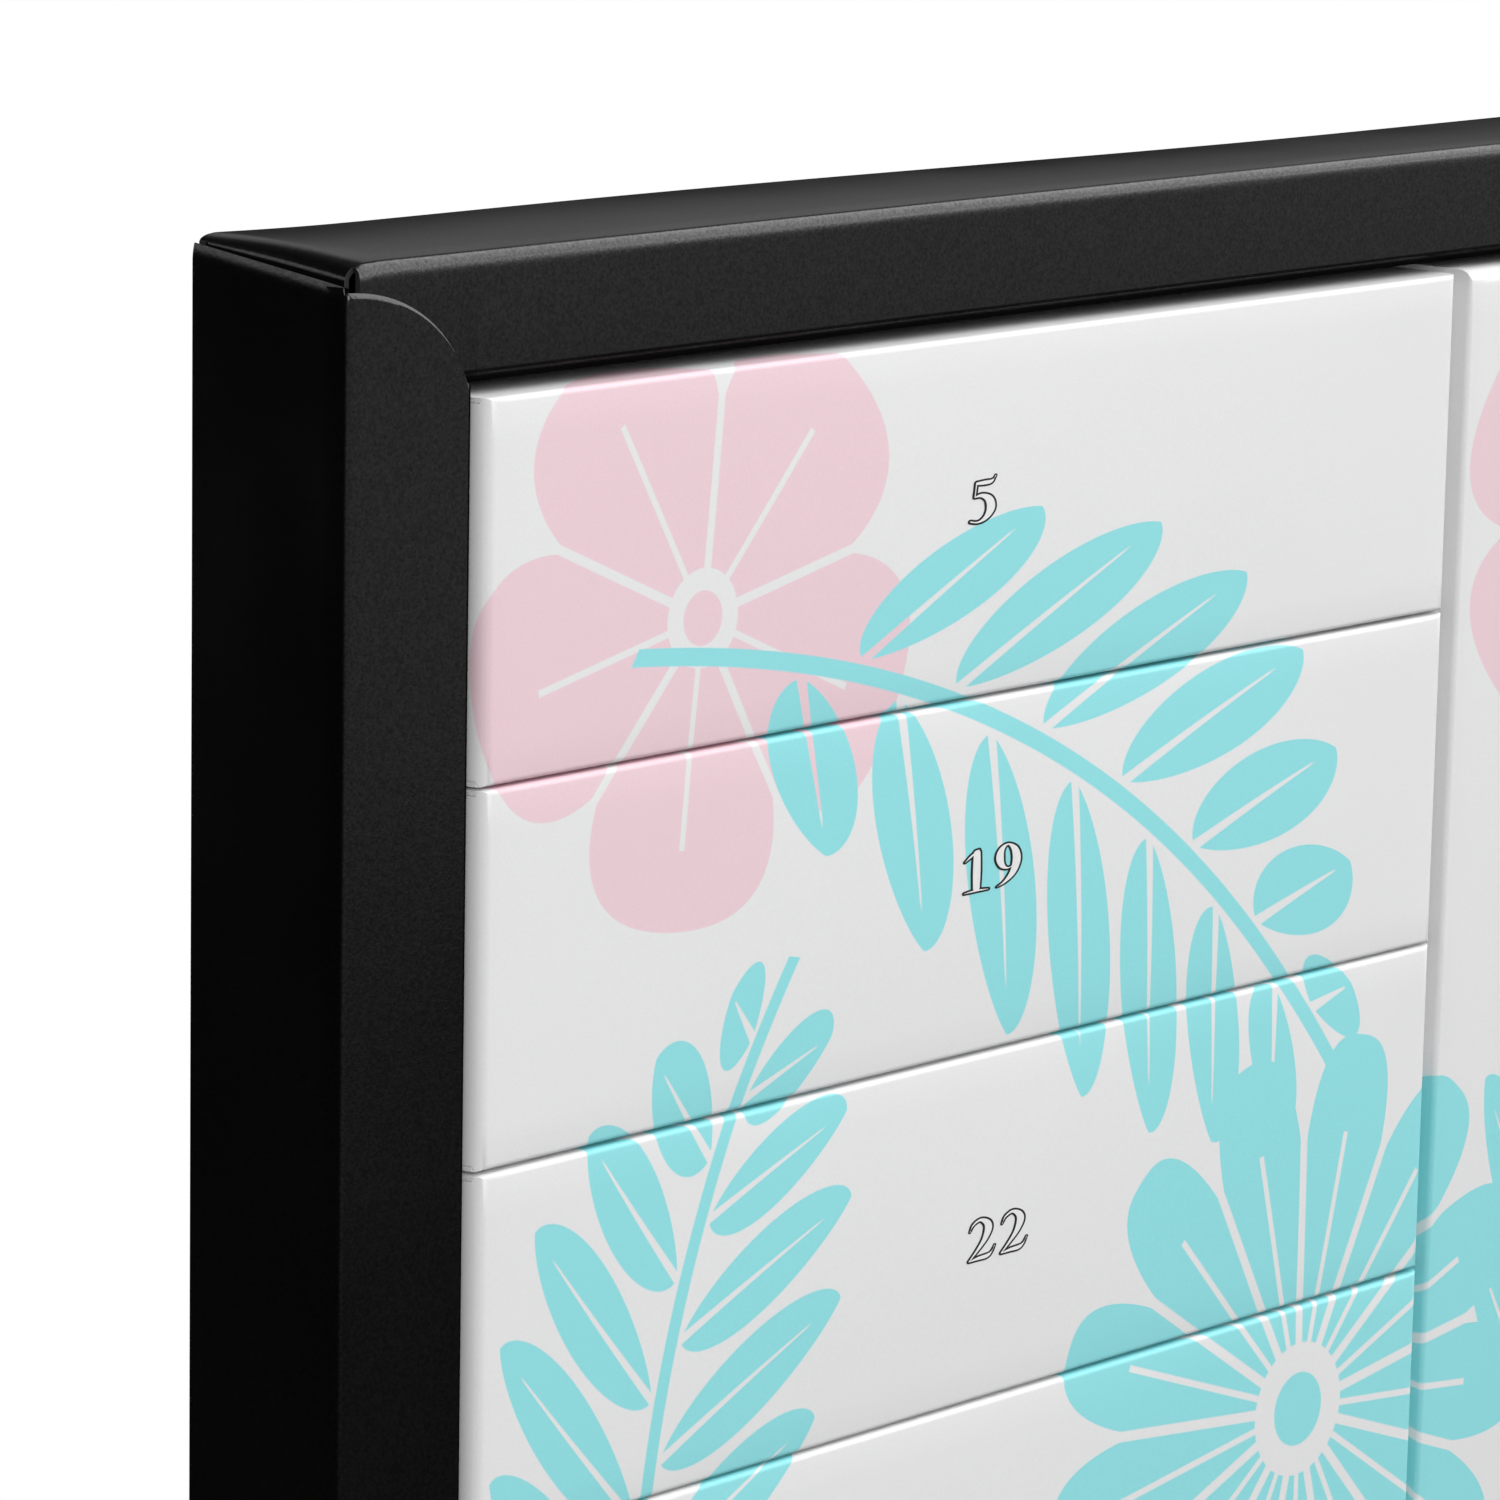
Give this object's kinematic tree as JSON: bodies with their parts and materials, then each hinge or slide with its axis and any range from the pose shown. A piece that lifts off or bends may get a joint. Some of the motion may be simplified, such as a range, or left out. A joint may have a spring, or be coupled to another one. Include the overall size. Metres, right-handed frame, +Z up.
{
  "type": "box advent calendar",
  "caption": "Upright calendar of small lidded card boxes, laid across and upright by turns, packed in a black folded-card frame with a closed back.",
  "frame": {"origin": "middle of the underside, half way between the box fronts and the back panel", "axes": "+Z up, +X along the width to the right as seen from the front, box fronts face -Y"},
  "size_m": [0.486, 0.022, 0.3258],
  "materials": {
    "frame_card": "satin black card with soft folds",
    "lid_card": "smooth white printed card",
    "tray_card": "plain uncoated white card"
  },
  "bodies": {
    "frame": {"back_panel": "frame_card", "top_rail": "frame_card", "bottom_rail": "frame_card", "left_rail": "frame_card", "right_rail": "frame_card"},
    "box_05": {"box_05_tray": "tray_card"},
    "lid_05": {"box_05_lid": "lid_card"},
    "box_19": {"box_19_tray": "tray_card"},
    "lid_19": {"box_19_lid": "lid_card"},
    "box_22": {"box_22_tray": "tray_card"},
    "lid_22": {"box_22_lid": "lid_card"},
    "box_08": {"box_08_tray": "tray_card"},
    "lid_08": {"box_08_lid": "lid_card"},
    "box_14": {"box_14_tray": "tray_card"},
    "lid_14": {"box_14_lid": "lid_card"},
    "box_01": {"box_01_tray": "tray_card"},
    "lid_01": {"box_01_lid": "lid_card"},
    "box_23": {"box_23_tray": "tray_card"},
    "lid_23": {"box_23_lid": "lid_card"},
    "box_10": {"box_10_tray": "tray_card"},
    "lid_10": {"box_10_lid": "lid_card"},
    "box_03": {"box_03_tray": "tray_card"},
    "lid_03": {"box_03_lid": "lid_card"},
    "box_17": {"box_17_tray": "tray_card"},
    "lid_17": {"box_17_lid": "lid_card"},
    "box_12": {"box_12_tray": "tray_card"},
    "lid_12": {"box_12_lid": "lid_card"},
    "box_20": {"box_20_tray": "tray_card"},
    "lid_20": {"box_20_lid": "lid_card"},
    "box_16": {"box_16_tray": "tray_card"},
    "lid_16": {"box_16_lid": "lid_card"},
    "box_07": {"box_07_tray": "tray_card"},
    "lid_07": {"box_07_lid": "lid_card"},
    "box_21": {"box_21_tray": "tray_card"},
    "lid_21": {"box_21_lid": "lid_card"},
    "box_02": {"box_02_tray": "tray_card"},
    "lid_02": {"box_02_lid": "lid_card"},
    "box_11": {"box_11_tray": "tray_card"},
    "lid_11": {"box_11_lid": "lid_card"},
    "box_24": {"box_24_tray": "tray_card"},
    "lid_24": {"box_24_lid": "lid_card"},
    "box_06": {"box_06_tray": "tray_card"},
    "lid_06": {"box_06_lid": "lid_card"},
    "box_13": {"box_13_tray": "tray_card"},
    "lid_13": {"box_13_lid": "lid_card"},
    "box_09": {"box_09_tray": "tray_card"},
    "lid_09": {"box_09_lid": "lid_card"},
    "box_18": {"box_18_tray": "tray_card"},
    "lid_18": {"box_18_lid": "lid_card"},
    "box_04": {"box_04_tray": "tray_card"},
    "lid_04": {"box_04_lid": "lid_card"},
    "box_15": {"box_15_tray": "tray_card"},
    "lid_15": {"box_15_lid": "lid_card"}
  },
  "joints": [
    {"name": "box_05_pull", "type": "slide", "parent": "frame", "child": "box_05", "axis": [0, -1, 0], "range_m": [0, 0.04]},
    {"name": "lid_05_lift", "type": "slide", "parent": "box_05", "child": "lid_05", "axis": [0, -1, 0], "range_m": [0, 0.03]},
    {"name": "box_19_pull", "type": "slide", "parent": "frame", "child": "box_19", "axis": [0, -1, 0], "range_m": [0, 0.04]},
    {"name": "lid_19_lift", "type": "slide", "parent": "box_19", "child": "lid_19", "axis": [0, -1, 0], "range_m": [0, 0.03]},
    {"name": "box_22_pull", "type": "slide", "parent": "frame", "child": "box_22", "axis": [0, -1, 0], "range_m": [0, 0.04]},
    {"name": "lid_22_lift", "type": "slide", "parent": "box_22", "child": "lid_22", "axis": [0, -1, 0], "range_m": [0, 0.03]},
    {"name": "box_08_pull", "type": "slide", "parent": "frame", "child": "box_08", "axis": [0, -1, 0], "range_m": [0, 0.04]},
    {"name": "lid_08_lift", "type": "slide", "parent": "box_08", "child": "lid_08", "axis": [0, -1, 0], "range_m": [0, 0.03]},
    {"name": "box_14_pull", "type": "slide", "parent": "frame", "child": "box_14", "axis": [0, -1, 0], "range_m": [0, 0.04]},
    {"name": "lid_14_lift", "type": "slide", "parent": "box_14", "child": "lid_14", "axis": [0, -1, 0], "range_m": [0, 0.03]},
    {"name": "box_01_pull", "type": "slide", "parent": "frame", "child": "box_01", "axis": [0, -1, 0], "range_m": [0, 0.04]},
    {"name": "lid_01_lift", "type": "slide", "parent": "box_01", "child": "lid_01", "axis": [0, -1, 0], "range_m": [0, 0.03]},
    {"name": "box_23_pull", "type": "slide", "parent": "frame", "child": "box_23", "axis": [0, -1, 0], "range_m": [0, 0.04]},
    {"name": "lid_23_lift", "type": "slide", "parent": "box_23", "child": "lid_23", "axis": [0, -1, 0], "range_m": [0, 0.03]},
    {"name": "box_10_pull", "type": "slide", "parent": "frame", "child": "box_10", "axis": [0, -1, 0], "range_m": [0, 0.04]},
    {"name": "lid_10_lift", "type": "slide", "parent": "box_10", "child": "lid_10", "axis": [0, -1, 0], "range_m": [0, 0.03]},
    {"name": "box_03_pull", "type": "slide", "parent": "frame", "child": "box_03", "axis": [0, -1, 0], "range_m": [0, 0.04]},
    {"name": "lid_03_lift", "type": "slide", "parent": "box_03", "child": "lid_03", "axis": [0, -1, 0], "range_m": [0, 0.03]},
    {"name": "box_17_pull", "type": "slide", "parent": "frame", "child": "box_17", "axis": [0, -1, 0], "range_m": [0, 0.04]},
    {"name": "lid_17_lift", "type": "slide", "parent": "box_17", "child": "lid_17", "axis": [0, -1, 0], "range_m": [0, 0.03]},
    {"name": "box_12_pull", "type": "slide", "parent": "frame", "child": "box_12", "axis": [0, -1, 0], "range_m": [0, 0.04]},
    {"name": "lid_12_lift", "type": "slide", "parent": "box_12", "child": "lid_12", "axis": [0, -1, 0], "range_m": [0, 0.03]},
    {"name": "box_20_pull", "type": "slide", "parent": "frame", "child": "box_20", "axis": [0, -1, 0], "range_m": [0, 0.04]},
    {"name": "lid_20_lift", "type": "slide", "parent": "box_20", "child": "lid_20", "axis": [0, -1, 0], "range_m": [0, 0.03]},
    {"name": "box_16_pull", "type": "slide", "parent": "frame", "child": "box_16", "axis": [0, -1, 0], "range_m": [0, 0.04]},
    {"name": "lid_16_lift", "type": "slide", "parent": "box_16", "child": "lid_16", "axis": [0, -1, 0], "range_m": [0, 0.03]},
    {"name": "box_07_pull", "type": "slide", "parent": "frame", "child": "box_07", "axis": [0, -1, 0], "range_m": [0, 0.04]},
    {"name": "lid_07_lift", "type": "slide", "parent": "box_07", "child": "lid_07", "axis": [0, -1, 0], "range_m": [0, 0.03]},
    {"name": "box_21_pull", "type": "slide", "parent": "frame", "child": "box_21", "axis": [0, -1, 0], "range_m": [0, 0.04]},
    {"name": "lid_21_lift", "type": "slide", "parent": "box_21", "child": "lid_21", "axis": [0, -1, 0], "range_m": [0, 0.03]},
    {"name": "box_02_pull", "type": "slide", "parent": "frame", "child": "box_02", "axis": [0, -1, 0], "range_m": [0, 0.04]},
    {"name": "lid_02_lift", "type": "slide", "parent": "box_02", "child": "lid_02", "axis": [0, -1, 0], "range_m": [0, 0.03]},
    {"name": "box_11_pull", "type": "slide", "parent": "frame", "child": "box_11", "axis": [0, -1, 0], "range_m": [0, 0.04]},
    {"name": "lid_11_lift", "type": "slide", "parent": "box_11", "child": "lid_11", "axis": [0, -1, 0], "range_m": [0, 0.03]},
    {"name": "box_24_pull", "type": "slide", "parent": "frame", "child": "box_24", "axis": [0, -1, 0], "range_m": [0, 0.04]},
    {"name": "lid_24_lift", "type": "slide", "parent": "box_24", "child": "lid_24", "axis": [0, -1, 0], "range_m": [0, 0.03]},
    {"name": "box_06_pull", "type": "slide", "parent": "frame", "child": "box_06", "axis": [0, -1, 0], "range_m": [0, 0.04]},
    {"name": "lid_06_lift", "type": "slide", "parent": "box_06", "child": "lid_06", "axis": [0, -1, 0], "range_m": [0, 0.03]},
    {"name": "box_13_pull", "type": "slide", "parent": "frame", "child": "box_13", "axis": [0, -1, 0], "range_m": [0, 0.04]},
    {"name": "lid_13_lift", "type": "slide", "parent": "box_13", "child": "lid_13", "axis": [0, -1, 0], "range_m": [0, 0.03]},
    {"name": "box_09_pull", "type": "slide", "parent": "frame", "child": "box_09", "axis": [0, -1, 0], "range_m": [0, 0.04]},
    {"name": "lid_09_lift", "type": "slide", "parent": "box_09", "child": "lid_09", "axis": [0, -1, 0], "range_m": [0, 0.03]},
    {"name": "box_18_pull", "type": "slide", "parent": "frame", "child": "box_18", "axis": [0, -1, 0], "range_m": [0, 0.04]},
    {"name": "lid_18_lift", "type": "slide", "parent": "box_18", "child": "lid_18", "axis": [0, -1, 0], "range_m": [0, 0.03]},
    {"name": "box_04_pull", "type": "slide", "parent": "frame", "child": "box_04", "axis": [0, -1, 0], "range_m": [0, 0.04]},
    {"name": "lid_04_lift", "type": "slide", "parent": "box_04", "child": "lid_04", "axis": [0, -1, 0], "range_m": [0, 0.03]},
    {"name": "box_15_pull", "type": "slide", "parent": "frame", "child": "box_15", "axis": [0, -1, 0], "range_m": [0, 0.04]},
    {"name": "lid_15_lift", "type": "slide", "parent": "box_15", "child": "lid_15", "axis": [0, -1, 0], "range_m": [0, 0.03]}
  ]
}
